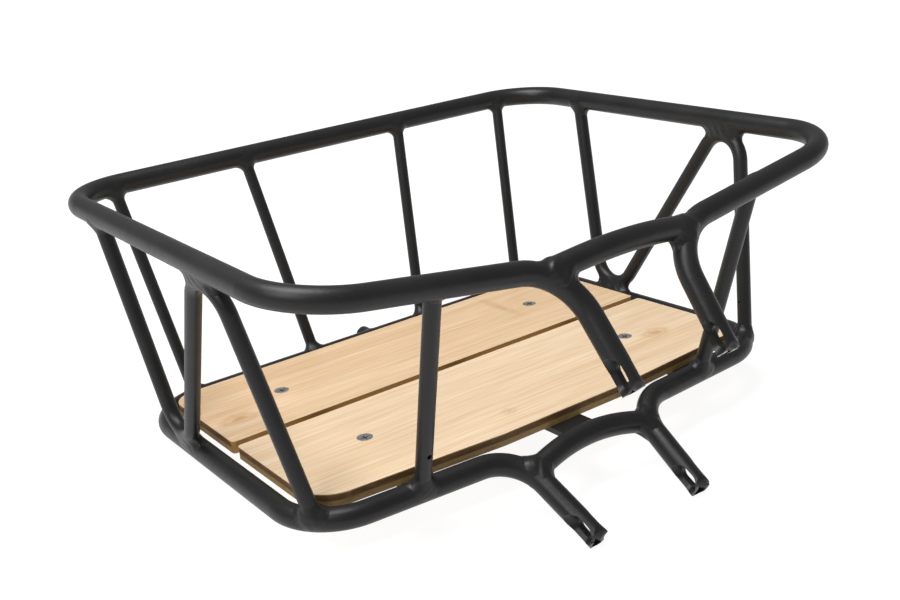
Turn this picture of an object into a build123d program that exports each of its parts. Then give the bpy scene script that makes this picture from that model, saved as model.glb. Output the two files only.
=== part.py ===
from build123d import *
import math
import os

# Frame-mounted front cargo carrier: two bent tube loops joined by struts, with a wooden deck.
# Millimetres. The origin is the centre of the head-tube mount, midway between the four leg
# slots. +X is the rider's right, +Y is the way the bicycle travels, +Z is up, deck level.
# Centre-line corners are given for the right side and mirrored to the left.

# Tube sections
TUBE_DIAMETER = 16.5
TUBE_WALL = 1.8
TRUSS_DIAMETER = 11.5
TRUSS_WALL = 1.4
FRONT_STRUT_DIAMETER = 9.5
FRONT_STRUT_WALL = 1.2
TUBE_RADIUS = TUBE_DIAMETER / 2

# Head-tube mount: two pairs of slots on a line at the head angle
HEAD_ANGLE = 73.0
SLOT_SPACING = 125.0
UPPER_SLOT_X = 43.5
LOWER_SLOT_X = 50.0
SLOT_Y = SLOT_SPACING / 2 * math.cos(math.radians(HEAD_ANGLE))
SLOT_Z = SLOT_SPACING / 2 * math.sin(math.radians(HEAD_ANGLE))
UPPER_SLOT = Vector(UPPER_SLOT_X, -SLOT_Y, SLOT_Z)
LOWER_SLOT = Vector(LOWER_SLOT_X, SLOT_Y, -SLOT_Z)

# Leg ends: a pressed recess on each side with sloping walls, its floor slotted, and a
# rounded upper corner. The recess sizes are at its floor, where both tube walls meet.
SLOT_FROM_TIP = 12.0
SLOT_LENGTH = 14.0
SLOT_WIDTH = 7.5
RECESS_LENGTH = 16.5
RECESS_WIDTH = 9.5
RECESS_TAPER = 35.0
RECESS_WALL = 1.2
FLOOR_THICKNESS = 2 * TUBE_WALL
UPPER_CORNER_ROUND = 7.0
LOWER_CORNER_ROUND = 2.5

# Rim loop, which turns down at the rear into the upper legs
RIM_LEG_BEND = Vector(47, 29, 121)
RIM_REAR_CORNER = Vector(240, 33, 147.5)
RIM_FRONT_CORNER = Vector(235, 400, 151.5)
RIM_CORNER_RADIUS = 50
RIM_LEG_BEND_RADIUS = 43

# Base loop, level, which turns down at the rear into the lower legs
BASE_Z = -25.0
BASE_LEG_BEND = Vector(56.5, 80.5, BASE_Z)
BASE_REAR_CORNER = Vector(216.5, 92, BASE_Z)
BASE_FRONT_CORNER = Vector(212, 353, BASE_Z)
BASE_CORNER_RADIUS = 44
BASE_LEG_BEND_RADIUS = 35

# Bridges between the legs: end inside the leg bend, corner of the one shallow bend, its
# radius, and the middle of the weld where the bridge leaves the leg
UPPER_BRIDGE_END = Vector(65, 27.3, 121.6)
UPPER_BRIDGE_CORNER = Vector(0, 22, 130)
UPPER_BRIDGE_RADIUS = 250
UPPER_BRIDGE_WELD = Vector(55, 26, 123)
LOWER_BRIDGE_END = Vector(55, 64.5, -33)
LOWER_BRIDGE_CORNER = Vector(0, 71.5, -20.5)
LOWER_BRIDGE_RADIUS = 150
LOWER_BRIDGE_WELD = Vector(47, 65.5, -31)

# Front struts, rim end then base end
FRONT_STRUT_TOP_Y = 396.5
FRONT_STRUT_BOTTOM_Y = 357.5
OUTER_STRUT_X = (194, 171.5)
INNER_STRUT_X = (78, 57)

# Side truss: strut, bend on the base loop, diagonal, bend under the rim, strut
TRUSS_FRONT_TOP = Vector(235, 323, 150)
TRUSS_LOW_BEND = Vector(215.5, 279, -46.5)
TRUSS_HIGH_BEND = Vector(242, 137, 173.2)
TRUSS_REAR_BOTTOM = Vector(207, 102.5, BASE_Z)
TRUSS_BEND_RADIUS = 22

# Rear struts
REAR_STRUT_TOP = Vector(141, 38, 132)
REAR_STRUT_BOTTOM = Vector(134, 85.5, BASE_Z)
VENT_DIAMETER = 3.5
VENT_Z = 6.0

# Deck
DECK_BOTTOM = -22.8
DECK_THICKNESS = 9.5
DECK_TOP = DECK_BOTTOM + DECK_THICKNESS
DECK_EDGE_GAP = 4.5
BOARD_GAP_REAR_Y = 220.5
BOARD_GAP_FRONT_Y = 228.0
FRONT_BOARD_CORNER = 20.0
REAR_BOARD_CORNER = 27.0
BOARD_SMALL_CORNER = 3.0

# Rails under the deck and the fixings through them
RAIL_THICKNESS = 4.0
SIDE_RAIL_WIDTH = 25.0
CENTRE_RAIL_WIDTH = 30.0
SCREW_X = 128.5
FRONT_SCREW_Y = 286.0
REAR_SCREW_Y = 163.0
SCREW_DIAMETER = 6.0
SCREW_LENGTH = 20.0
HEAD_DIAMETER = 12.0
HEAD_SINK = 0.2
CROSS_LENGTH = 6.0
CROSS_WIDTH = 1.2
CROSS_DEPTH = 2.2
CLEARANCE_DIAMETER = 6.6
NUT_ACROSS_FLATS = 10.0
NUT_HEIGHT = 5.0

# Lamp boss on the front of the base loop
BOSS_DIAMETER = 14.0
BOSS_LENGTH = 7.5
BOSS_BORE_DIAMETER = 5.0
BOSS_BORE_DEPTH = 6.0

# Welds: collars round the struts, webs at the truss bends, rounded beads elsewhere
WELD_START = 5.0
WELD_HEIGHT = 5.0
WELD_WIDTH = 3.5
BEND_WEB_LENGTH = 28.0
BEND_WEB_WIDTH = 9.0
BRIDGE_BEAD_RADIUS = 10.0
RAIL_BEAD_RADIUS = 2.2


def mirror_point(point):
    return Vector(-point.X, point.Y, point.Z)


def mirror_shape(shape):
    return mirror(shape, about=Plane.YZ)


def leg_tip(bend, slot):
    return slot + (slot - bend).normalized() * SLOT_FROM_TIP


def sweep_circle(path, radius):
    section = Plane(origin=path @ 0, z_dir=path % 0) * Circle(radius)
    return sweep(section, path=path)


def loop_tube(right_points, corner_radius, bend_radius):
    """A bent tube from the right leg tip round the loop to the left one: tube and solid rod."""
    left_points = [mirror_point(point) for point in reversed(right_points)]
    radii = [bend_radius] + [corner_radius] * 4 + [bend_radius]
    path = FilletPolyline(*right_points, *left_points, radius=radii)
    rod = sweep_circle(path, TUBE_RADIUS)
    tube = rod - sweep_circle(path, TUBE_RADIUS - TUBE_WALL)
    return tube, rod


def slot_prism(plane, length, width):
    return extrude(plane * SlotOverall(length, width), amount=TUBE_DIAMETER, both=True)


def dimples(plane, start, wall):
    """The two dimples of a leg end, widening outwards from start off its middle plane."""
    size = (RECESS_LENGTH + 2 * wall, RECESS_WIDTH + 2 * wall)
    shapes = []
    for direction in (plane.z_dir, -plane.z_dir):
        face_plane = Plane(plane.origin + direction * start, x_dir=plane.x_dir, z_dir=direction)
        face = face_plane * SlotOverall(*size)
        shapes.append(extrude(face, amount=TUBE_RADIUS, taper=-RECESS_TAPER))
    return shapes


def rounded_corner_cutter(plane, side, radius):
    """What is cut from one corner of a leg end. side is -1 for the upper corner, 1 for the lower."""
    reach = 2.0
    centre_along = SLOT_FROM_TIP - radius
    centre_across = side * (TUBE_RADIUS - radius)
    size = radius + reach
    block = Pos(centre_along + size / 2, centre_across + side * size / 2) * Rectangle(size, size)
    round_part = Pos(centre_along, centre_across) * Circle(radius)
    return extrude(plane * (block - round_part), amount=TUBE_DIAMETER, both=True)


def finish_leg(tube, rod, bend, slot):
    """Press the recesses into one right leg end, slot their floor and round the end."""
    plane = Plane(origin=slot, x_dir=(slot - bend).normalized(), z_dir=(1, 0, 0))
    blocks = [block & rod for block in dimples(plane, 0, RECESS_WALL)]
    cutters = [
        *dimples(plane, FLOOR_THICKNESS / 2, 0),
        slot_prism(plane, SLOT_LENGTH, SLOT_WIDTH),
        rounded_corner_cutter(plane, -1, UPPER_CORNER_ROUND),
        rounded_corner_cutter(plane, 1, LOWER_CORNER_ROUND),
    ]
    for side_shape in (lambda shape: shape, mirror_shape):
        for block in blocks:
            tube = tube + side_shape(block)
        for cutter in cutters:
            tube = tube - side_shape(cutter)
    return tube


def bridge_tube(end, corner, bend_radius, holder_rod):
    """A tube with one shallow bend between the legs, coped to the tube that holds it."""
    path = FilletPolyline(mirror_point(end), corner, end, radius=bend_radius)
    rod = sweep_circle(path, TUBE_RADIUS)
    tube = rod - sweep_circle(path, TUBE_RADIUS - TUBE_WALL) - holder_rod
    return tube, rod


def straight_tube(start, end, diameter, wall, holders):
    """A straight tube coped to its holders, and the solid rod of the same outer size."""
    path = Line(start, end)
    rod = sweep_circle(path, diameter / 2)
    tube = rod - sweep_circle(path, diameter / 2 - wall)
    for holder in holders:
        tube = tube - holder
    return tube, rod


def vent_hole(axis_point, direction):
    path = Line(axis_point, axis_point + direction * TRUSS_DIAMETER)
    return sweep_circle(path, VENT_DIAMETER / 2)


def point_at_height(low, high, z):
    return low + (high - low) * ((z - low.Z) / (high.Z - low.Z))


def weld_collar(rod, holder, root, toward, rod_radius):
    """The collar of weld metal round a rod, tapering from its holder along the rod."""
    direction = (toward - root).normalized()
    height = TUBE_RADIUS + WELD_HEIGHT - WELD_START
    plane = Plane(origin=root + direction * WELD_START, z_dir=direction)
    align = (Align.CENTER, Align.CENTER, Align.MIN)
    collar = plane * Cone(rod_radius + WELD_WIDTH, rod_radius + 0.2, height, align=align)
    return collar - holder - rod


def weld_bead(start, end, radius, neighbours):
    """A round-ended bead laid along a line, cut back to the parts that it joins."""
    bead = sweep_circle(Line(start, end), radius)
    bead = bead + Pos(*start) * Sphere(radius) + Pos(*end) * Sphere(radius)
    for neighbour in neighbours:
        bead = bead - neighbour
    return bead


def nearest_on_line(point, start, end):
    direction = (end - start).normalized()
    return start + direction * (point - start).dot(direction)


def bend_weld(bend_arc, truss_rod, loop_start, loop_end, loop_rod):
    """The web of weld metal between a loop tube and a truss bend that lies against it."""
    bend_point = bend_arc @ 0.5
    loop_point = nearest_on_line(bend_point, loop_start, loop_end)
    toward = bend_point - loop_point
    plane = Plane(loop_point, x_dir=loop_end - loop_start, z_dir=toward)
    web = extrude(plane * SlotOverall(BEND_WEB_LENGTH, BEND_WEB_WIDTH), amount=toward.length)
    return web - loop_rod - truss_rod


def bridge_weld(middle, bridge_rod, holder_rod):
    """The rounded bead where a bridge meets a leg bend, its poles inside the bridge."""
    ball = Pos(*middle) * Rot(0, 90, 0) * Sphere(BRIDGE_BEAD_RADIUS)
    return ball - holder_rod - bridge_rod


def both_sides(shapes):
    return list(shapes) + [mirror_shape(shape) for shape in shapes]


def group(shapes):
    solids = []
    for shape in shapes:
        solids.extend(shape.solids())
    return Compound(solids)


def board_side_x(y):
    """Half width of the deck at y, which follows the side of the base loop."""
    along = (y - BASE_FRONT_CORNER.Y) / (BASE_REAR_CORNER.Y - BASE_FRONT_CORNER.Y)
    loop_x = BASE_FRONT_CORNER.X + along * (BASE_REAR_CORNER.X - BASE_FRONT_CORNER.X)
    return loop_x - TUBE_RADIUS - DECK_EDGE_GAP


def deck_board(right_outline, right_radii):
    """A board from its right-hand outline, front to rear, with countersunk holes cut later."""
    left_outline = [(-x, y) for x, y in reversed(right_outline)]
    radii = list(right_radii) + list(reversed(right_radii))
    outline = FilletPolyline(*right_outline, *left_outline, radius=radii, close=True)
    return Pos(0, 0, DECK_BOTTOM) * extrude(make_face(outline), amount=DECK_THICKNESS)


def countersink():
    """Clearance hole and head seat through a board, at the origin of a screw."""
    head_top = DECK_TOP - HEAD_SINK
    cone_height = (HEAD_DIAMETER - SCREW_DIAMETER) / 2
    cone_centre = head_top - cone_height / 2
    seat = Pos(0, 0, cone_centre) * Cone(SCREW_DIAMETER / 2, HEAD_DIAMETER / 2, cone_height)
    mouth = Pos(0, 0, head_top + 1) * Cylinder(HEAD_DIAMETER / 2, 2)
    hole = Pos(0, 0, DECK_BOTTOM) * Cylinder(CLEARANCE_DIAMETER / 2, 2 * DECK_THICKNESS)
    below_head = Pos(0, 0, head_top - cone_height - 50) * Box(50, 50, 100)
    return seat + mouth + (hole & below_head)


def deck_screw():
    head_top = DECK_TOP - HEAD_SINK
    cone_height = (HEAD_DIAMETER - SCREW_DIAMETER) / 2
    cone_centre = head_top - cone_height / 2
    head = Pos(0, 0, cone_centre) * Cone(SCREW_DIAMETER / 2, HEAD_DIAMETER / 2, cone_height)
    shank = Pos(0, 0, head_top - SCREW_LENGTH / 2) * Cylinder(SCREW_DIAMETER / 2, SCREW_LENGTH)
    cross = Box(CROSS_LENGTH, CROSS_WIDTH, 2 * CROSS_DEPTH)
    cross = cross + Box(CROSS_WIDTH, CROSS_LENGTH, 2 * CROSS_DEPTH)
    return head + shank - Pos(0, 0, head_top) * cross


def deck_nut():
    nut = extrude(RegularPolygon(NUT_ACROSS_FLATS / 2, 6, major_radius=False), amount=NUT_HEIGHT)
    nut = nut - Cylinder(SCREW_DIAMETER / 2, 3 * NUT_HEIGHT)
    return Pos(0, 0, DECK_BOTTOM - RAIL_THICKNESS - NUT_HEIGHT) * nut


def rail(x, width, rear_y, holders, screw_places):
    """A flat bar from the front base tube to the rear, coped to the tubes that hold it."""
    length = BASE_FRONT_CORNER.Y - rear_y
    middle = Vector(x, rear_y + length / 2, DECK_BOTTOM - RAIL_THICKNESS / 2)
    bar = Pos(*middle) * Box(width, length, RAIL_THICKNESS)
    for holder in holders:
        bar = bar - holder
    for place_x, place_y in screw_places:
        bar = bar - Pos(place_x, place_y, middle.Z) * Cylinder(CLEARANCE_DIAMETER / 2, 20)
    return bar


def rail_beads(x, width, rear_y, rail_shape, rear_holder, front_holder):
    """Beads under both ends of a rail, where its lower face meets the tubes."""
    beads = []
    z = DECK_BOTTOM - RAIL_THICKNESS
    half = width / 2 - RAIL_BEAD_RADIUS
    ends = ((rear_y + TUBE_RADIUS, rear_holder), (BASE_FRONT_CORNER.Y - TUBE_RADIUS, front_holder))
    for y, holder in ends:
        start = Vector(x - half, y, z)
        end = Vector(x + half, y, z)
        beads.append(weld_bead(start, end, RAIL_BEAD_RADIUS, (rail_shape, holder)))
    return beads


nodes = {}

# The two loops with their legs
upper_tip = leg_tip(RIM_LEG_BEND, UPPER_SLOT)
rim_points = [upper_tip, RIM_LEG_BEND, RIM_REAR_CORNER, RIM_FRONT_CORNER]
rim_tube, rim_rod = loop_tube(rim_points, RIM_CORNER_RADIUS, RIM_LEG_BEND_RADIUS)
nodes["rim_tube"] = finish_leg(rim_tube, rim_rod, RIM_LEG_BEND, UPPER_SLOT)

lower_tip = leg_tip(BASE_LEG_BEND, LOWER_SLOT)
base_points = [lower_tip, BASE_LEG_BEND, BASE_REAR_CORNER, BASE_FRONT_CORNER]
base_tube, base_rod = loop_tube(base_points, BASE_CORNER_RADIUS, BASE_LEG_BEND_RADIUS)
nodes["base_tube"] = finish_leg(base_tube, base_rod, BASE_LEG_BEND, LOWER_SLOT)

# The bridges
upper_bridge, upper_bridge_rod = bridge_tube(
    UPPER_BRIDGE_END, UPPER_BRIDGE_CORNER, UPPER_BRIDGE_RADIUS, rim_rod
)
lower_bridge, lower_bridge_rod = bridge_tube(
    LOWER_BRIDGE_END, LOWER_BRIDGE_CORNER, LOWER_BRIDGE_RADIUS, base_rod
)
nodes["upper_bridge"] = upper_bridge
nodes["lower_bridge"] = lower_bridge

# Front struts
front_welds = []
for name, (top_x, bottom_x) in (("outer", OUTER_STRUT_X), ("inner", INNER_STRUT_X)):
    top = Vector(top_x, FRONT_STRUT_TOP_Y, RIM_FRONT_CORNER.Z)
    bottom = Vector(bottom_x, FRONT_STRUT_BOTTOM_Y, BASE_Z)
    section = (FRONT_STRUT_DIAMETER, FRONT_STRUT_WALL)
    strut, strut_rod = straight_tube(top, bottom, *section, (rim_rod, base_rod))
    nodes[f"front_strut_{name}_right"] = strut
    nodes[f"front_strut_{name}_left"] = mirror_shape(strut)
    strut_radius = FRONT_STRUT_DIAMETER / 2
    front_welds.append(weld_collar(strut_rod, rim_rod, top, bottom, strut_radius))
    front_welds.append(weld_collar(strut_rod, base_rod, bottom, top, strut_radius))
nodes["front_strut_welds"] = group(both_sides(front_welds))

# Side trusses
truss_points = (TRUSS_FRONT_TOP, TRUSS_LOW_BEND, TRUSS_HIGH_BEND, TRUSS_REAR_BOTTOM)
truss_path = FilletPolyline(*truss_points, radius=TRUSS_BEND_RADIUS)
truss_rod = sweep_circle(truss_path, TRUSS_DIAMETER / 2)
truss = truss_rod - sweep_circle(truss_path, TRUSS_DIAMETER / 2 - TRUSS_WALL)
truss = truss - rim_rod - base_rod
truss_vent_point = point_at_height(TRUSS_REAR_BOTTOM, TRUSS_HIGH_BEND, VENT_Z)
truss = truss - vent_hole(truss_vent_point, Vector(-1, 0, 0))
nodes["side_truss_right"] = truss
nodes["side_truss_left"] = mirror_shape(truss)

# Rear struts
rear_section = (TRUSS_DIAMETER, TRUSS_WALL)
rear_holders = (rim_rod, base_rod)
rear_strut, rear_rod = straight_tube(REAR_STRUT_TOP, REAR_STRUT_BOTTOM, *rear_section, rear_holders)
rear_vent_point = point_at_height(REAR_STRUT_BOTTOM, REAR_STRUT_TOP, VENT_Z)
rear_strut = rear_strut - vent_hole(rear_vent_point, Vector(0, -1, 0))
nodes["rear_strut_right"] = rear_strut
nodes["rear_strut_left"] = mirror_shape(rear_strut)
rear_welds = [
    weld_collar(rear_rod, rim_rod, REAR_STRUT_TOP, REAR_STRUT_BOTTOM, TRUSS_DIAMETER / 2),
    weld_collar(rear_rod, base_rod, REAR_STRUT_BOTTOM, REAR_STRUT_TOP, TRUSS_DIAMETER / 2),
]
nodes["rear_strut_welds"] = group(both_sides(rear_welds))

# Deck boards
rear_edge_y = BASE_REAR_CORNER.Y + TUBE_RADIUS + DECK_EDGE_GAP
rear_middle_y = BASE_LEG_BEND.Y + TUBE_RADIUS + DECK_EDGE_GAP
front_edge_y = BASE_FRONT_CORNER.Y - TUBE_RADIUS - DECK_EDGE_GAP
front_outline = [
    (board_side_x(front_edge_y), front_edge_y),
    (board_side_x(BOARD_GAP_FRONT_Y), BOARD_GAP_FRONT_Y),
]
rear_outline = [
    (board_side_x(BOARD_GAP_REAR_Y), BOARD_GAP_REAR_Y),
    (board_side_x(rear_edge_y), rear_edge_y),
    (BASE_LEG_BEND.X, rear_middle_y),
]
front_board = deck_board(front_outline, (FRONT_BOARD_CORNER, BOARD_SMALL_CORNER))
rear_board = deck_board(rear_outline, (BOARD_SMALL_CORNER, REAR_BOARD_CORNER, 60))

screw_places = []
for place_y in (FRONT_SCREW_Y, REAR_SCREW_Y):
    for place_x in (SCREW_X, -SCREW_X):
        screw_places.append((place_x, place_y))
for place_x, place_y in screw_places:
    cutter = Pos(place_x, place_y) * countersink()
    front_board = front_board - cutter
    rear_board = rear_board - cutter
nodes["deck_board_front"] = front_board
nodes["deck_board_rear"] = rear_board
nodes["deck_screws"] = group([Pos(x, y) * deck_screw() for x, y in screw_places])
nodes["deck_nuts"] = group([Pos(x, y) * deck_nut() for x, y in screw_places])

# Rails
loop_slope = (BASE_REAR_CORNER.Y - BASE_LEG_BEND.Y) / (BASE_REAR_CORNER.X - BASE_LEG_BEND.X)
side_rail_rear_y = BASE_LEG_BEND.Y + loop_slope * (SCREW_X - BASE_LEG_BEND.X)
side_rail = rail(SCREW_X, SIDE_RAIL_WIDTH, side_rail_rear_y, (base_rod,), screw_places)
nodes["deck_rail_right"] = side_rail
nodes["deck_rail_left"] = mirror_shape(side_rail)
centre_rear_y = LOWER_BRIDGE_CORNER.Y - 2
centre_rail = rail(0, CENTRE_RAIL_WIDTH, centre_rear_y, (base_rod, lower_bridge_rod), ())
nodes["centre_rail"] = centre_rail
side_beads = rail_beads(SCREW_X, SIDE_RAIL_WIDTH, side_rail_rear_y, side_rail, base_rod, base_rod)
centre_beads = rail_beads(
    0, CENTRE_RAIL_WIDTH, centre_rear_y, centre_rail, lower_bridge_rod, base_rod
)
nodes["rail_welds"] = group(both_sides(side_beads) + centre_beads)

# Lamp boss
boss_root = Vector(0, BASE_FRONT_CORNER.Y, BASE_Z)
boss_tip = boss_root + Vector(0, TUBE_RADIUS + BOSS_LENGTH, 0)
boss_rod = sweep_circle(Line(boss_root, boss_tip), BOSS_DIAMETER / 2)
bore_bottom = boss_tip - Vector(0, BOSS_BORE_DEPTH, 0)
boss_bore = sweep_circle(Line(bore_bottom, boss_tip), BOSS_BORE_DIAMETER / 2)
nodes["lamp_boss"] = boss_rod - boss_bore - base_rod

# Welds of the trusses and the bridges
low_arc, high_arc = truss_path.edges().filter_by(GeomType.CIRCLE).sort_by(Axis.Z)
base_side = (BASE_REAR_CORNER, BASE_FRONT_CORNER, base_rod)
rim_side = (RIM_REAR_CORNER, RIM_FRONT_CORNER, rim_rod)
truss_welds = [
    weld_collar(truss_rod, rim_rod, TRUSS_FRONT_TOP, TRUSS_LOW_BEND, TRUSS_DIAMETER / 2),
    weld_collar(truss_rod, base_rod, TRUSS_REAR_BOTTOM, TRUSS_HIGH_BEND, TRUSS_DIAMETER / 2),
    bend_weld(low_arc, truss_rod, *base_side),
    bend_weld(high_arc, truss_rod, *rim_side),
]
nodes["side_truss_welds"] = group(both_sides(truss_welds))
bridge_welds = [
    bridge_weld(UPPER_BRIDGE_WELD, upper_bridge_rod, rim_rod),
    bridge_weld(LOWER_BRIDGE_WELD, lower_bridge_rod, base_rod),
]
nodes["bridge_welds"] = group(both_sides(bridge_welds))

os.makedirs("parts", exist_ok=True)
for name, shape in nodes.items():
    export_step(shape, f"parts/{name}.step")
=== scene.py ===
import math

import bpy
import numpy as np
from mathutils import Matrix, Vector


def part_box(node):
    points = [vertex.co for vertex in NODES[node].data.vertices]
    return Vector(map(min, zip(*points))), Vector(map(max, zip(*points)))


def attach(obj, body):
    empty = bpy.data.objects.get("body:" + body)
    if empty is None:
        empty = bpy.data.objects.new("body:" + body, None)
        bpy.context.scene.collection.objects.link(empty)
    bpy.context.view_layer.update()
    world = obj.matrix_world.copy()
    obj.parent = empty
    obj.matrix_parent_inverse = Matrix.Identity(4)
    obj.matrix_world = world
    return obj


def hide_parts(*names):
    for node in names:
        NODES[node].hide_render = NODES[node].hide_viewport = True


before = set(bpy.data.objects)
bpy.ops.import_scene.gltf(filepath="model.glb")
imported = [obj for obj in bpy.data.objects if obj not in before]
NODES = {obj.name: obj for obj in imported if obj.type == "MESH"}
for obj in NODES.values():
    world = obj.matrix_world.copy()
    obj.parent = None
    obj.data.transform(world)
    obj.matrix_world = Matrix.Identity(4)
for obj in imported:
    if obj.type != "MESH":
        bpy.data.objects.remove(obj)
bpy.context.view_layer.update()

# A frame-mounted front cargo carrier: black powder-coated tubes, a bamboo deck in two boards
# and four countersunk screws. Metres, in the CAD frame: +X rider's right, +Y forward, +Z up.

MM = 0.001

# Corners and ends of the tube centre lines on the right side, and bend radii, in mm
UPPER_SLOT = (43.5, -18.27, 59.77)
RIM_LEG_BEND = (47, 29, 121)
RIM_REAR_CORNER = (240, 33, 147.5)
RIM_FRONT_CORNER = (235, 400, 151.5)
LOWER_SLOT = (50, 18.27, -59.77)
BASE_LEG_BEND = (56.5, 80.5, -25)
BASE_REAR_CORNER = (216.5, 92, -25)
BASE_FRONT_CORNER = (212, 353, -25)
UPPER_BRIDGE_END = (65, 27.3, 121.6)
UPPER_BRIDGE_CORNER = (0, 22, 130)
LOWER_BRIDGE_END = (55, 64.5, -33)
LOWER_BRIDGE_CORNER = (0, 71.5, -20.5)
TRUSS_CORNERS = ((235, 323, 150), (215.5, 279, -46.5), (242, 137, 173.2), (207, 102.5, -25))
OUTER_STRUT_ENDS = ((194, 396.5, 151.5), (171.5, 357.5, -25))
INNER_STRUT_ENDS = ((78, 396.5, 151.5), (57, 357.5, -25))
REAR_STRUT_ENDS = ((141, 38, 132), (134, 85.5, -25))
BOSS_ENDS = ((0, 353, -25), (0, 390, -25))
RIM_LEG_BEND_RADIUS = 43
RIM_CORNER_RADIUS = 50
BASE_LEG_BEND_RADIUS = 35
BASE_CORNER_RADIUS = 44
UPPER_BRIDGE_RADIUS = 250
LOWER_BRIDGE_RADIUS = 150
TRUSS_BEND_RADIUS = 22


# Camera

CAMERA_PLACE = Vector((-0.5205, -0.5266, 0.3609))
CAMERA_ANGLES = (-34.68, 19.31, -5.47)
CAMERA_LENS = 48.58
SENSOR_WIDTH = 36
CAMERA_CLIP = (0.01, 50)


def make_camera():
    azimuth, elevation, roll = (math.radians(angle) for angle in CAMERA_ANGLES)
    flat = math.cos(elevation)
    back = Vector((math.sin(azimuth) * flat, -math.cos(azimuth) * flat, math.sin(elevation)))
    level = Vector((0, 0, 1)).cross(back).normalized()
    above = back.cross(level)
    right = level * math.cos(roll) + above * math.sin(roll)
    upward = above * math.cos(roll) - level * math.sin(roll)
    data = bpy.data.cameras.new("camera")
    data.lens = CAMERA_LENS
    data.sensor_width = SENSOR_WIDTH
    data.clip_start, data.clip_end = CAMERA_CLIP
    camera = bpy.data.objects.new("camera", data)
    turn = Matrix((right, upward, back)).transposed().to_4x4()
    camera.matrix_world = Matrix.Translation(CAMERA_PLACE) @ turn
    bpy.context.scene.collection.objects.link(camera)
    bpy.context.scene.camera = camera


make_camera()


# Small helpers for meshes and materials

NOISE_ROUGHNESS = 0.55


def link_mesh(name, vertices, faces, smooth=True):
    mesh = bpy.data.meshes.new(name)
    mesh.from_pydata([tuple(v) for v in vertices], [], [tuple(f) for f in faces])
    mesh.validate()
    mesh.polygons.foreach_set("use_smooth", [smooth] * len(mesh.polygons))
    piece = bpy.data.objects.new(name, mesh)
    bpy.context.scene.collection.objects.link(piece)
    return piece


def new_material(name):
    material = bpy.data.materials.new(name)
    material.use_nodes = True
    tree = material.node_tree
    tree.nodes.clear()
    shader = tree.nodes.new("ShaderNodeBsdfPrincipled")
    output = tree.nodes.new("ShaderNodeOutputMaterial")
    tree.links.new(shader.outputs[0], output.inputs["Surface"])
    return material, tree, shader


def add(tree, kind, inputs=None, **settings):
    """A shader node with its settings, and its inputs set to values or linked to sockets."""
    node = tree.nodes.new("ShaderNode" + kind)
    for key, value in settings.items():
        setattr(node, key, value)
    for key, value in (inputs or {}).items():
        if isinstance(value, bpy.types.NodeSocket):
            tree.links.new(value, node.inputs[key])
        else:
            node.inputs[key].default_value = value
    return node


def maths(tree, operation, *values):
    return add(tree, "Math", dict(enumerate(values)), operation=operation).outputs[0]


def vector_maths(tree, operation, *values, output="Vector"):
    node = add(tree, "VectorMath", dict(enumerate(values)), operation=operation)
    return node.outputs[output]


def separate(tree, vector):
    return add(tree, "SeparateXYZ", {0: vector}).outputs


def combine(tree, *values):
    return add(tree, "CombineXYZ", dict(enumerate(values))).outputs[0]


def stretch(tree, source, low, high, to_low=0.0, to_high=1.0, smooth=False):
    kind = "SMOOTHSTEP" if smooth else "LINEAR"
    inputs = {"Value": source, "From Min": low, "From Max": high}
    inputs.update({"To Min": to_low, "To Max": to_high})
    return add(tree, "MapRange", inputs, interpolation_type=kind).outputs[0]


def blend_colour(tree, factor, first, second, how="MIX"):
    node = add(tree, "Mix", {0: factor, 6: first, 7: second}, data_type="RGBA", blend_type=how)
    return node.outputs[2]


def scaled_noise(tree, point, scales, detail):
    """Noise over the point multiplied by three scales, in waves per metre."""
    vector = vector_maths(tree, "MULTIPLY", point, scales)
    inputs = {"Vector": vector, "Scale": 1.0, "Detail": detail, "Roughness": NOISE_ROUGHNESS}
    return add(tree, "TexNoise", inputs).outputs[0]


def even_noise(tree, point, scale, detail):
    return scaled_noise(tree, point, (scale, scale, scale), detail)


def set_shader(tree, shader, **values):
    names = {
        "colour": "Base Color",
        "rough": "Roughness",
        "metal": "Metallic",
        "normal": "Normal",
        "specular": "Specular IOR Level",
    }
    for key, value in values.items():
        if isinstance(value, bpy.types.NodeSocket):
            tree.links.new(value, shader.inputs[names[key]])
        else:
            shader.inputs[names[key]].default_value = value


def bump(tree, height, strength, distance, normal=None):
    inputs = {"Height": height, "Strength": strength, "Distance": distance}
    if normal is not None:
        inputs["Normal"] = normal
    return add(tree, "Bump", inputs).outputs[0]


def give_material(piece, material):
    piece.data.materials.clear()
    piece.data.materials.append(material)


# Powder coat

COAT_DARK = (0.0065, 0.0066, 0.0066, 1)
COAT_LIGHT = (0.0100, 0.0101, 0.0101, 1)
COAT_ROUGH = (0.37, 0.45)
COAT_SPECULAR = 0.34
DUST = (0.09, 0.09, 0.09, 1)
DUST_STRENGTH = 0.25
WELD_LUMPS = 0.30
# Noise scales in waves per metre
CLOUD_SCALE = 22
DUST_SCALE = 900
PEEL_SCALE = 650
SWELL_SCALE = 95

# Leg ends: how far the tip is beyond the slot's centre, and how bright the sawn steel is; the
# lower legs' ends are painted far darker than the upper ones, as painted shade
TIP_BEYOND_SLOT = 12 * MM
RIM_END_BRIGHTNESS = 0.35
BASE_END_SHADED_BRIGHTNESS = 0.06


def cut_end_mask(tree, point, slot, bend):
    """1 on the sawn end of a leg and 0 elsewhere on the tube that the leg belongs to."""
    slot, bend = Vector(slot) * MM, Vector(bend) * MM
    parts = separate(tree, point)
    folded = combine(tree, maths(tree, "ABSOLUTE", parts["X"]), parts["Y"], parts["Z"])
    direction = (slot - bend).normalized()
    along = vector_maths(tree, "DOT_PRODUCT", folded, tuple(direction), output="Value")
    tip = slot.dot(direction) + TIP_BEYOND_SLOT
    return stretch(tree, along, tip - 0.25 * MM, tip - 0.10 * MM)


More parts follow.
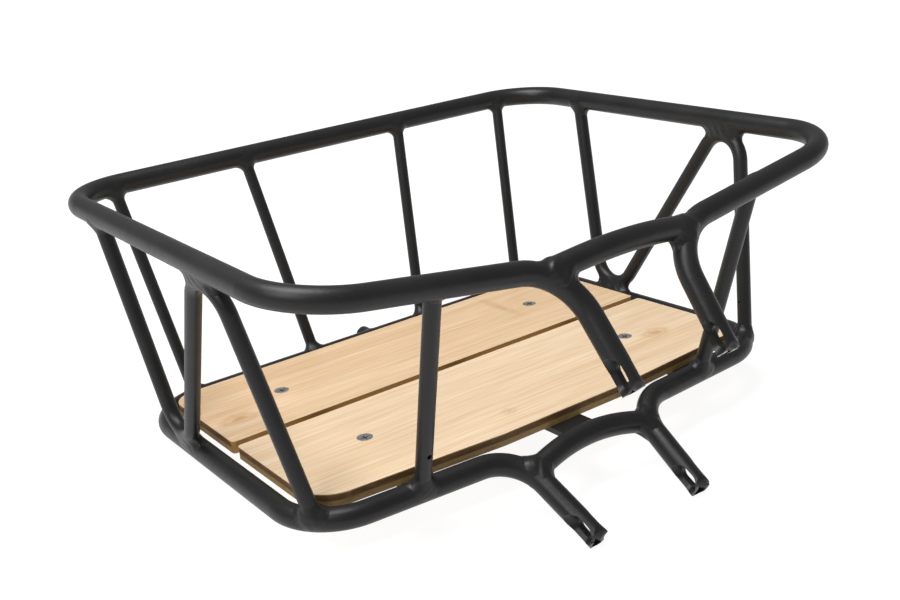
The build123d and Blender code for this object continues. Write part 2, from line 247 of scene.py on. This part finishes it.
def powder_coat(name, lumps, leg=None):
    """Satin black powder coat: orange peel, faint tone changes, dust specks, sawn leg ends (on
    the lower legs darkened with painted shade).
    """
    material, tree, shader = new_material(name)
    point = add(tree, "TexCoord").outputs["Object"]
    cloud = even_noise(tree, point, CLOUD_SCALE, detail=4)
    colour = blend_colour(tree, stretch(tree, cloud, 0.35, 0.65), COAT_DARK, COAT_LIGHT)
    speck = stretch(tree, even_noise(tree, point, DUST_SCALE, detail=1), 0.72, 0.80)
    colour = blend_colour(tree, maths(tree, "MULTIPLY", speck, DUST_STRENGTH), colour, DUST)
    peel = even_noise(tree, point, PEEL_SCALE, detail=2)
    swell = even_noise(tree, point, SWELL_SCALE, detail=2)
    normal = bump(tree, swell, 0.35 + lumps, 0.6 * MM)
    normal = bump(tree, peel, 0.20, 0.12 * MM, normal)
    rough = stretch(tree, cloud, 0.3, 0.7, *COAT_ROUGH)
    if leg is not None:
        slot, bend, end_tone_and_shade = leg
        bare = cut_end_mask(tree, point, slot, bend)
        # The sawn end's grey: plain steel on the upper legs, steel darkened with painted shade on
        # the lower legs
        steel = (end_tone_and_shade, end_tone_and_shade, end_tone_and_shade, 1)
        colour = blend_colour(tree, bare, colour, steel)
        set_shader(tree, shader, metal=bare)
    set_shader(tree, shader, colour=colour, rough=rough, normal=normal, specular=COAT_SPECULAR)
    return material


# Metal

ZINC = (0.62, 0.63, 0.65, 1)
ZINC_ROUGH = (0.22, 0.38)
DULL_SHARE = 0.72


def bright_metal(name, colour, rough_range):
    """Bright plating with cloudy dull patches and a fine grain."""
    material, tree, shader = new_material(name)
    point = add(tree, "TexCoord").outputs["Object"]
    cloud = even_noise(tree, point, 350, detail=4)
    dull = tuple(DULL_SHARE * c for c in colour[:3]) + (1,)
    tone = blend_colour(tree, stretch(tree, cloud, 0.35, 0.65), dull, colour)
    rough = stretch(tree, cloud, 0.3, 0.7, *rough_range)
    grain = scaled_noise(tree, point, (2600, 2600, 900), detail=2)
    normal = bump(tree, grain, 0.18, 0.05 * MM)
    set_shader(tree, shader, colour=tone, rough=rough, metal=1.0, normal=normal)
    return material


# Bamboo

FRONT_BOARD_LOW, FRONT_BOARD_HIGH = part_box("deck_board_front")
BOARD_BOTTOM, BOARD_TOP = FRONT_BOARD_LOW.z, FRONT_BOARD_HIGH.z
GAP_CENTRE_Y = (FRONT_BOARD_LOW.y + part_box("deck_board_rear")[1].y) / 2
STRIP_WIDTH = 0.0205
STRIP_SHIFT = 7.0
GRAIN_WANDER = 0.004
BAMBOO_SPECULAR = 0.42
BAMBOO_PALE = (0.765, 0.620, 0.445, 1)
BAMBOO_WARM = (0.655, 0.490, 0.315, 1)
FRONT_BOARD_TINT = (0.93, 0.87, 0.80, 1)
BAMBOO_STREAK = (0.500, 0.290, 0.130, 1)
BAMBOO_NODE = (0.430, 0.215, 0.075, 1)
EDGE_DARK = (0.125, 0.060, 0.020, 1)
EDGE_MOTTLE = (0.240, 0.130, 0.045, 1)
EDGE_TAN = (0.370, 0.240, 0.090, 1)
EDGE_ARRIS = (0.480, 0.310, 0.120, 1)
# Board edges facing the gap: a lighter golden brown, painted light that offsets the shade in the
# narrow gap
EDGE_GAP_PAINTED_LIGHT = (0.400, 0.215, 0.060, 1)
# Bamboo nodes that show on the boards: x, y, half length along the grain, half width, strength
BAMBOO_NODES = (
    (-0.178, 0.262, 0.022, 0.013, 0.75),
    (0.150, 0.150, 0.020, 0.012, 0.70),
    (0.105, 0.300, 0.007, 0.040, 0.55),
    (-0.030, 0.120, 0.009, 0.008, 0.45),
)


def bamboo_node_spot(tree, point, x, y, half_x, half_y, strength):
    """How strongly the ragged, ringed spot of one bamboo node shows."""
    offset = vector_maths(tree, "SUBTRACT", point, (x, y, BOARD_TOP))
    local = vector_maths(tree, "MULTIPLY", offset, (1 / half_x, 1 / half_y, 0))
    reach = vector_maths(tree, "LENGTH", local, output="Value")
    ragged = scaled_noise(tree, point, (90, 260, 260), detail=3)
    reach = maths(tree, "ADD", reach, maths(tree, "MULTIPLY", ragged, 0.9))
    spot = stretch(tree, reach, 1.5, 0.55, 0.0, strength, smooth=True)
    rings = maths(tree, "SINE", maths(tree, "MULTIPLY", reach, 14.0))
    return maths(tree, "MULTIPLY", spot, stretch(tree, rings, -1, 1, 0.45, 1.0))


def bamboo():
    """Strips of bamboo glued side by side, grain along X, with plies on the edges."""
    material, tree, shader = new_material("bamboo")
    point = add(tree, "TexCoord").outputs["Object"]
    parts = separate(tree, point)
    wander = scaled_noise(tree, point, (5, 8, 5), detail=2)
    bent_y = maths(tree, "ADD", parts["Y"], maths(tree, "MULTIPLY", wander, GRAIN_WANDER))
    strip = maths(tree, "FLOOR", maths(tree, "DIVIDE", parts["Y"], STRIP_WIDTH))
    strip_tone = add(tree, "TexWhiteNoise", {"W": strip}, noise_dimensions="1D").outputs[0]
    shifted = maths(tree, "ADD", parts["X"], maths(tree, "MULTIPLY", strip_tone, STRIP_SHIFT))
    grain_point = combine(tree, shifted, bent_y, parts["Z"])
    fine = scaled_noise(tree, grain_point, (18, 1500, 1500), detail=3)
    streak = scaled_noise(tree, grain_point, (6, 420, 300), detail=3)
    broad = scaled_noise(tree, grain_point, (4, 70, 60), detail=2)

    broad_tone = maths(tree, "MULTIPLY", broad, 0.9)
    tone = maths(tree, "ADD", broad_tone, maths(tree, "MULTIPLY", strip_tone, 0.22))
    top = blend_colour(tree, stretch(tree, tone, 0.35, 0.85), BAMBOO_PALE, BAMBOO_WARM)
    top = blend_colour(tree, stretch(tree, streak, 0.52, 0.78, 0.0, 0.55), top, BAMBOO_STREAK)
    top = blend_colour(tree, stretch(tree, fine, 0.42, 0.70, 0.0, 0.62), top, BAMBOO_STREAK)
    front_board = stretch(tree, parts["Y"], GAP_CENTRE_Y - 1 * MM, GAP_CENTRE_Y + 1 * MM)
    top = blend_colour(tree, front_board, top, FRONT_BOARD_TINT, how="MULTIPLY")
    for bamboo_node in BAMBOO_NODES:
        spot = bamboo_node_spot(tree, point, *bamboo_node)
        top = blend_colour(tree, spot, top, BAMBOO_NODE)

    ply = stretch(tree, parts["Z"], BOARD_BOTTOM, BOARD_TOP)
    mottle = scaled_noise(tree, point, (110, 110, 420), detail=4)
    edge = blend_colour(tree, stretch(tree, ply, 0.42, 0.50), EDGE_TAN, EDGE_DARK)
    edge = blend_colour(tree, stretch(tree, mottle, 0.42, 0.70, 0.0, 0.6), edge, EDGE_MOTTLE)
    edge = blend_colour(tree, stretch(tree, ply, 0.90, 0.96), edge, EDGE_ARRIS)
    # Painted light: the edges facing the gap between the boards are made lighter against the
    # shade that falls in it
    from_gap = maths(tree, "ABSOLUTE", maths(tree, "SUBTRACT", parts["Y"], GAP_CENTRE_Y))
    edge = blend_colour(tree, stretch(tree, from_gap, 8 * MM, 6 * MM), edge, EDGE_GAP_PAINTED_LIGHT)
    facing = separate(tree, add(tree, "NewGeometry").outputs["Normal"])["Z"]
    level = stretch(tree, maths(tree, "ABSOLUTE", facing), 0.25, 0.75)
    colour = blend_colour(tree, level, edge, top)

    fine_relief = maths(tree, "MULTIPLY", fine, 0.6)
    relief = maths(tree, "ADD", fine_relief, maths(tree, "MULTIPLY", streak, 0.4))
    normal = bump(tree, relief, 0.25, 0.12 * MM)
    rough = stretch(tree, streak, 0.3, 0.7, 0.36, 0.50)
    rough = maths(tree, "ADD", rough, stretch(tree, level, 0, 1, 0.2, 0.0))
    set_shader(tree, shader, colour=colour, rough=rough, normal=normal, specular=BAMBOO_SPECULAR)
    return material


# A material for every CAD node

RIM_LEG_END = (UPPER_SLOT, RIM_LEG_BEND, RIM_END_BRIGHTNESS)
# The lower legs' sawn ends take the darker grey, which is painted shade
BASE_LEG_END = (LOWER_SLOT, BASE_LEG_BEND, BASE_END_SHADED_BRIGHTNESS)

coat = powder_coat("powder_coat", 0.0)
rim_coat = powder_coat("powder_coat_rim", 0.0, RIM_LEG_END)
base_coat = powder_coat("powder_coat_base", 0.0, BASE_LEG_END)
weld_coat = powder_coat("powder_coat_weld", WELD_LUMPS)
zinc = bright_metal("zinc_plate", ZINC, ZINC_ROUGH)
wood = bamboo()
for node_name, node in NODES.items():
    if node_name in ("deck_screws", "deck_nuts"):
        give_material(node, zinc)
    elif node_name.startswith("deck_board"):
        give_material(node, wood)
    elif node_name.endswith("_welds"):
        give_material(node, weld_coat)
    elif node_name == "rim_tube":
        give_material(node, rim_coat)
    elif node_name == "base_tube":
        give_material(node, base_coat)
    else:
        give_material(node, coat)


# Rounded arrises on the boards, after the CAD mesh's split points are joined

ARRIS_WIDTH = 0.6 * MM
ARRIS_SEGMENTS = 3
ARRIS_ANGLE = math.radians(50)
JOIN_DISTANCE = 0.01 * MM

for node_name in ("deck_board_front", "deck_board_rear"):
    join = NODES[node_name].modifiers.new("join", "WELD")
    join.merge_threshold = JOIN_DISTANCE
    arris = NODES[node_name].modifiers.new("arris", "BEVEL")
    arris.width = ARRIS_WIDTH
    arris.segments = ARRIS_SEGMENTS
    arris.limit_method = "ANGLE"
    arris.angle_limit = ARRIS_ANGLE
    arris.harden_normals = True


# Weld fillets: the smooth union of the tubes that meet, shown where it stands proud of them

NET_STEP = 0.8 * MM
WELD_INSET = 0.2 * MM
WELD_DEPTH = 1.2 * MM
ARC_STEP = math.radians(4)
NEAR_FACTOR = 1.8
SLOPE_NUDGE = 0.05 * MM
LEAST_SLOPE = 0.5
DRAW_PASSES = 2
MAIN_RADIUS = 8.25 * MM
TRUSS_RADIUS = 5.75 * MM
STRUT_RADIUS = 4.75 * MM
BOSS_RADIUS = 7.0 * MM


def bent_path(corners, bend_radius):
    """The centre line, in metres, of a tube bent at its inner corners, which are in mm."""
    corners = [np.array(corner, float) for corner in corners]
    path = [corners[0]]
    for before, corner, after in zip(corners[:-2], corners[1:-1], corners[2:]):
        back = (before - corner) / np.linalg.norm(before - corner)
        ahead = (after - corner) / np.linalg.norm(after - corner)
        half_turn = (math.pi - math.acos(back @ ahead)) / 2
        middle = (back + ahead) / np.linalg.norm(back + ahead)
        centre = corner + middle * bend_radius / math.cos(half_turn)
        first = corner + back * bend_radius * math.tan(half_turn) - centre
        last = corner + ahead * bend_radius * math.tan(half_turn) - centre
        count = max(4, math.ceil(2 * half_turn / ARC_STEP))
        for k in range(count + 1):
            share = 2 * half_turn * k / count
            weight = math.sin(2 * half_turn - share), math.sin(share)
            path.append(centre + (weight[0] * first + weight[1] * last) / math.sin(2 * half_turn))
    path.append(corners[-1])
    return np.array(path) * MM


def straight_path(start, end):
    """The centre line, in metres, between two points that are in mm."""
    return np.array([start, end], float) * MM


def mirror(point):
    return -point[0], point[1], point[2]


def bridge_path(end, corner, bend_radius):
    return bent_path((mirror(end), corner, end), bend_radius)


def trimmed(path, at_start, at_end):
    """A path cut short at its two ends by amounts in mm, to end inside the tube it meets."""
    path = path.copy()
    for end, inner, amount in ((0, 1, at_start), (-1, -2, at_end)):
        inward = path[inner] - path[end]
        path[end] += inward / np.linalg.norm(inward) * amount * MM
    return path


RIM_LOOP_CORNERS = (
    RIM_REAR_CORNER, RIM_FRONT_CORNER, mirror(RIM_FRONT_CORNER), mirror(RIM_REAR_CORNER)
)
BASE_LOOP_CORNERS = (
    BASE_LEG_BEND, BASE_REAR_CORNER, BASE_FRONT_CORNER,
    mirror(BASE_FRONT_CORNER), mirror(BASE_REAR_CORNER),
)
RIM_LEG_PATH = bent_path((UPPER_SLOT, RIM_LEG_BEND, RIM_REAR_CORNER), RIM_LEG_BEND_RADIUS)
BASE_LEG_PATH = bent_path((LOWER_SLOT, BASE_LEG_BEND, BASE_REAR_CORNER), BASE_LEG_BEND_RADIUS)
UPPER_BRIDGE_PATH = bridge_path(UPPER_BRIDGE_END, UPPER_BRIDGE_CORNER, UPPER_BRIDGE_RADIUS)
LOWER_BRIDGE_PATH = bridge_path(LOWER_BRIDGE_END, LOWER_BRIDGE_CORNER, LOWER_BRIDGE_RADIUS)

# Each tube's centre line and outer radius
RIM_LEG = (RIM_LEG_PATH, MAIN_RADIUS)
RIM_REAR = (straight_path(RIM_LEG_BEND, RIM_REAR_CORNER), MAIN_RADIUS)
RIM_LOOP = (bent_path(RIM_LOOP_CORNERS, RIM_CORNER_RADIUS), MAIN_RADIUS)
BASE_LEG = (BASE_LEG_PATH, MAIN_RADIUS)
BASE_LOOP = (bent_path(BASE_LOOP_CORNERS, BASE_CORNER_RADIUS), MAIN_RADIUS)
UPPER_BRIDGE = (trimmed(UPPER_BRIDGE_PATH, 9, 9), MAIN_RADIUS)
LOWER_BRIDGE = (trimmed(LOWER_BRIDGE_PATH, 5, 5), MAIN_RADIUS)
TRUSS = (trimmed(bent_path(TRUSS_CORNERS, TRUSS_BEND_RADIUS), 6, 6), TRUSS_RADIUS)
OUTER_STRUT = (trimmed(straight_path(*OUTER_STRUT_ENDS), 6, 5), STRUT_RADIUS)
INNER_STRUT = (trimmed(straight_path(*INNER_STRUT_ENDS), 6, 5), STRUT_RADIUS)
REAR_STRUT = (trimmed(straight_path(*REAR_STRUT_ENDS), 0, 6), TRUSS_RADIUS)
BOSS = (straight_path(*BOSS_ENDS), BOSS_RADIUS)

# Joints on the right side: place in mm, the two tubes, fillet radius and reach in mm, and
# how lumpy the weld is
FRONT_JOINTS = (
    ((194, 398, 146), RIM_LOOP, OUTER_STRUT, 6.5, 23, 0.08),
    ((78, 398, 146), RIM_LOOP, INNER_STRUT, 6.5, 23, 0.08),
    ((172, 356, -20), BASE_LOOP, OUTER_STRUT, 7.5, 24, 0.08),
    ((58, 356, -20), BASE_LOOP, INNER_STRUT, 7.5, 24, 0.08),
)
TRUSS_JOINTS = (
    ((235, 323, 146), RIM_LOOP, TRUSS, 7.5, 26, 0.08),
    ((207, 104, -20), BASE_LOOP, TRUSS, 8.0, 27, 0.12),
    ((214, 274, -20), BASE_LOOP, TRUSS, 10.0, 32, 0.10),
    ((238, 143, 142), RIM_LOOP, TRUSS, 10.0, 32, 0.10),
)
REAR_JOINTS = (
    ((141, 36, 130), RIM_REAR, REAR_STRUT, 6.5, 24, 0.10),
    ((134, 85.5, -20), BASE_LEG, REAR_STRUT, 7.5, 25, 0.14),
)
BRIDGE_JOINTS = (
    ((55, 26, 122), RIM_LEG, UPPER_BRIDGE, 8.0, 31, 0.25),
    ((48, 65, -31), BASE_LEG, LOWER_BRIDGE, 8.0, 29, 0.25),
)
BOSS_JOINT = ((0, 358, -25), BASE_LOOP, BOSS, 2.5, 11, 0.08)


def tube_distance(points, path, radius):
    """Signed distance from points to the outside of a tube."""
    nearest = np.full(len(points), np.inf)
    for start, end in zip(path[:-1], path[1:]):
        along = end - start
        share = np.clip((points - start) @ along / (along @ along), 0, 1)
        offset = points - start - share[:, None] * along
        nearest = np.minimum(nearest, np.einsum("ij,ij->i", offset, offset))
    return np.sqrt(nearest) - radius


def near_part(tube, centre, reach):
    """The stretch of a tube that comes within reach of a point, as a path and a radius."""
    path, radius = tube
    starts, along = path[:-1], path[1:] - path[:-1]
    share = ((centre - starts) * along).sum(1) / (along * along).sum(1)
    nearest = starts + np.clip(share, 0, 1)[:, None] * along
    close = np.flatnonzero(np.linalg.norm(nearest - centre, axis=1) < NEAR_FACTOR * reach)
    return path[close[0]:close[-1] + 2], radius


def lumps(points):
    """A smooth wavy value from -1 to 1 that varies over a few millimetres."""
    x, y, z = (points / MM).T
    first = np.sin(0.34 * x + 0.45 * y + 0.4) * np.sin(0.41 * z - 0.29 * y + 1.9)
    second = np.sin(0.95 * y - 0.7 * z + 2.6) * np.sin(0.8 * x + 0.55 * z + 0.8)
    return 0.7 * first + 0.3 * second


def weld_field(points, centre, reach, first, second, fillet, lumpy):
    """Negative inside the weld's skin: a rounded union, hollow behind, cut off at its reach."""
    a = tube_distance(points, *first)
    b = tube_distance(points, *second)
    local = fillet * (1 + lumpy * lumps(points))
    corner = np.hypot(np.maximum(local - a, 0), np.maximum(local - b, 0))
    union = np.maximum(local, np.minimum(a, b)) - corner + WELD_INSET
    behind = -WELD_DEPTH - np.minimum(a, b)
    beyond = np.linalg.norm(points - centre, axis=1) - reach
    return np.maximum(np.maximum(union, behind), beyond)


def surface_net(field, origin):
    """Vertices and quads of the zero level of a field sampled every NET_STEP."""
    size = np.array(field.shape)
    total = np.zeros((*(size - 1), 3))
    count = np.zeros(size - 1)
    crossings = []
    for axis in range(3):
        low = np.moveaxis(field, axis, 0)[:-1]
        high = np.moveaxis(field, axis, 0)[1:]
        crossing = (low < 0) != (high < 0)
        share = np.where(crossing, low / np.where(crossing, low - high, 1), 0)
        crossings.append((crossing, low < 0))
        view_total, view_count = np.moveaxis(total, axis, 0), np.moveaxis(count, axis, 0)
        others = [other for other in range(3) if other != axis]
        for first in (0, 1):
            for second in (0, 1):
                rows = slice(first, crossing.shape[1] - 1 + first)
                columns = slice(second, crossing.shape[2] - 1 + second)
                hit = crossing[:, rows, columns]
                view_total[..., axis] += np.where(hit, share[:, rows, columns], 0)
                view_total[..., others[0]] += hit * first
                view_total[..., others[1]] += hit * second
                view_count += hit
    active = count > 0
    numbers = np.full(count.shape, -1)
    numbers[active] = np.arange(active.sum())
    cells = np.argwhere(active)
    vertices = origin + NET_STEP * (cells + total[active] / count[active][:, None])
    quads = []
    for axis, (crossing, inside) in enumerate(crossings):
        view = np.moveaxis(numbers, axis, 0)
        inner = np.zeros_like(crossing)
        inner[:, 1:-1, 1:-1] = crossing[:, 1:-1, 1:-1]
        i, j, k = np.nonzero(inner)
        ring = [view[i, j - 1, k - 1], view[i, j, k - 1], view[i, j, k], view[i, j - 1, k]]
        faces = np.stack(ring, axis=1)
        turned = inside[i, j, k] == (axis == 1)
        faces[turned] = faces[turned][:, ::-1]
        quads.append(faces)
    return vertices, np.concatenate(quads)


def weld(joint):
    """The mesh of one weld, its vertices drawn onto the exact surface."""
    place, first_tube, second_tube, fillet, reach, lumpy = joint
    centre, reach = np.array(place) * MM, reach * MM
    first = near_part(first_tube, centre, reach)
    second = near_part(second_tube, centre, reach)
    facts = centre, reach, first, second, fillet * MM, lumpy
    steps = math.ceil(reach / NET_STEP) + 2
    ticks = np.arange(-steps, steps + 1) * NET_STEP
    grid = np.stack(np.meshgrid(ticks, ticks, ticks, indexing="ij"), axis=-1)
    field = weld_field(grid.reshape(-1, 3) + centre, *facts).reshape(grid.shape[:3])
    vertices, quads = surface_net(field, centre - steps * NET_STEP)
    for _ in range(DRAW_PASSES):
        value = weld_field(vertices, *facts)
        slopes = []
        for axis in range(3):
            shift = np.zeros(3)
            shift[axis] = SLOPE_NUDGE
            slopes.append((weld_field(vertices + shift, *facts) - value) / SLOPE_NUDGE)
        slope = np.stack(slopes, axis=1)
        size = np.maximum((slope * slope).sum(1, keepdims=True), LEAST_SLOPE ** 2)
        move = np.clip(value[:, None] / size, -NET_STEP / 2, NET_STEP / 2)
        vertices = vertices - slope * move
    return vertices, quads


def weld_piece(name, joints, replaced=None, mirrored=True):
    """One piece of weld metal for several joints, and the CAD node that it stands for."""
    all_vertices, all_quads, count = [], [], 0
    for joint in joints:
        vertices, quads = weld(joint)
        copies = [(vertices, quads)]
        if mirrored:
            copies.append((vertices * (-1, 1, 1), quads[:, ::-1]))
        for copy_vertices, copy_quads in copies:
            all_vertices.append(copy_vertices)
            all_quads.append(copy_quads + count)
            count += len(copy_vertices)
    piece = link_mesh(name, np.concatenate(all_vertices), np.concatenate(all_quads))
    give_material(piece, weld_coat)
    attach(piece, "root")
    if replaced:
        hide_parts(replaced)


weld_piece("weld_fillets_front", FRONT_JOINTS, "front_strut_welds")
weld_piece("weld_fillets_truss", TRUSS_JOINTS, "side_truss_welds")
weld_piece("weld_fillets_rear", REAR_JOINTS, "rear_strut_welds")
weld_piece("weld_fillets_bridge", BRIDGE_JOINTS, "bridge_welds")
weld_piece("weld_fillet_boss", (BOSS_JOINT,), mirrored=False)


# The floor: the carrier stands on its two lower leg tips and the front of its base loop

FLOOR_SIZE = 40.0
FLOOR_CENTRE = Vector((0.0, 0.2))
FLOOR_DARK = (0.19, 0.19, 0.19, 1)
FLOOR_LIGHT = (0.21, 0.21, 0.21, 1)
FLOOR_GLOW = 4.5
REAR_PART_Y = 0.1
FRONT_PART_Y = 0.3
TILT_PASSES = 6


def resting_plane():
    """Unit normal and offset of the plane under the leg tips and the base loop."""
    coords = np.array([v.co for v in NODES["base_tube"].data.vertices])
    rear, front = coords[coords[:, 1] < REAR_PART_Y], coords[coords[:, 1] > FRONT_PART_Y]
    normal = np.array((0.0, 0.0, 1.0))
    for _ in range(TILT_PASSES):
        low_rear = rear[np.argmin(rear @ normal)]
        low_front = front[np.argmin(front @ normal)]
        rise = low_front - low_rear
        normal = np.array((0.0, -rise[2], rise[1])) / math.hypot(rise[1], rise[2])
    return Vector(normal), float(low_rear @ normal)


def make_floor():
    normal, offset = resting_plane()
    half = FLOOR_SIZE / 2
    corners = []
    for side_x, side_y in ((-1, -1), (1, -1), (1, 1), (-1, 1)):
        x, y = FLOOR_CENTRE.x + side_x * half, FLOOR_CENTRE.y + side_y * half
        z = (offset - normal.y * y) / normal.z
        corners.append((x, y, z))
    floor = link_mesh("floor", corners, [(0, 1, 2, 3)], smooth=False)
    material, tree, shader = new_material("floor_paper")
    point = add(tree, "TexCoord").outputs["Object"]
    cloud = even_noise(tree, point, 3, detail=2)
    colour = blend_colour(tree, cloud, FLOOR_DARK, FLOOR_LIGHT)
    set_shader(tree, shader, colour=colour, rough=0.9, specular=0.0)
    tree.links.new(colour, shader.inputs["Emission Color"])
    shader.inputs["Emission Strength"].default_value = FLOOR_GLOW
    give_material(floor, material)


make_floor()


# Soft studio light

WORLD_STRENGTH = 0.36
LIGHT_TARGET = Vector((0, 0.2, 0))


def softbox(name, place, size, power):
    data = bpy.data.lights.new(name, "AREA")
    data.shape = "SQUARE"
    data.size = size
    data.energy = power
    light = bpy.data.objects.new(name, data)
    light.location = place
    light.rotation_euler = (LIGHT_TARGET - Vector(place)).to_track_quat("-Z", "Y").to_euler()
    bpy.context.scene.collection.objects.link(light)


world = bpy.data.worlds.new("studio")
world.use_nodes = True
background = world.node_tree.nodes["Background"]
background.inputs["Color"].default_value = (1, 1, 1, 1)
background.inputs["Strength"].default_value = WORLD_STRENGTH
bpy.context.scene.world = world
bpy.context.scene.view_settings.view_transform = "Standard"
softbox("overhead", (-0.5, 0.3, 1.8), 1.0, 36)
softbox("left", (-1.5, -0.2, 1.3), 0.8, 13)
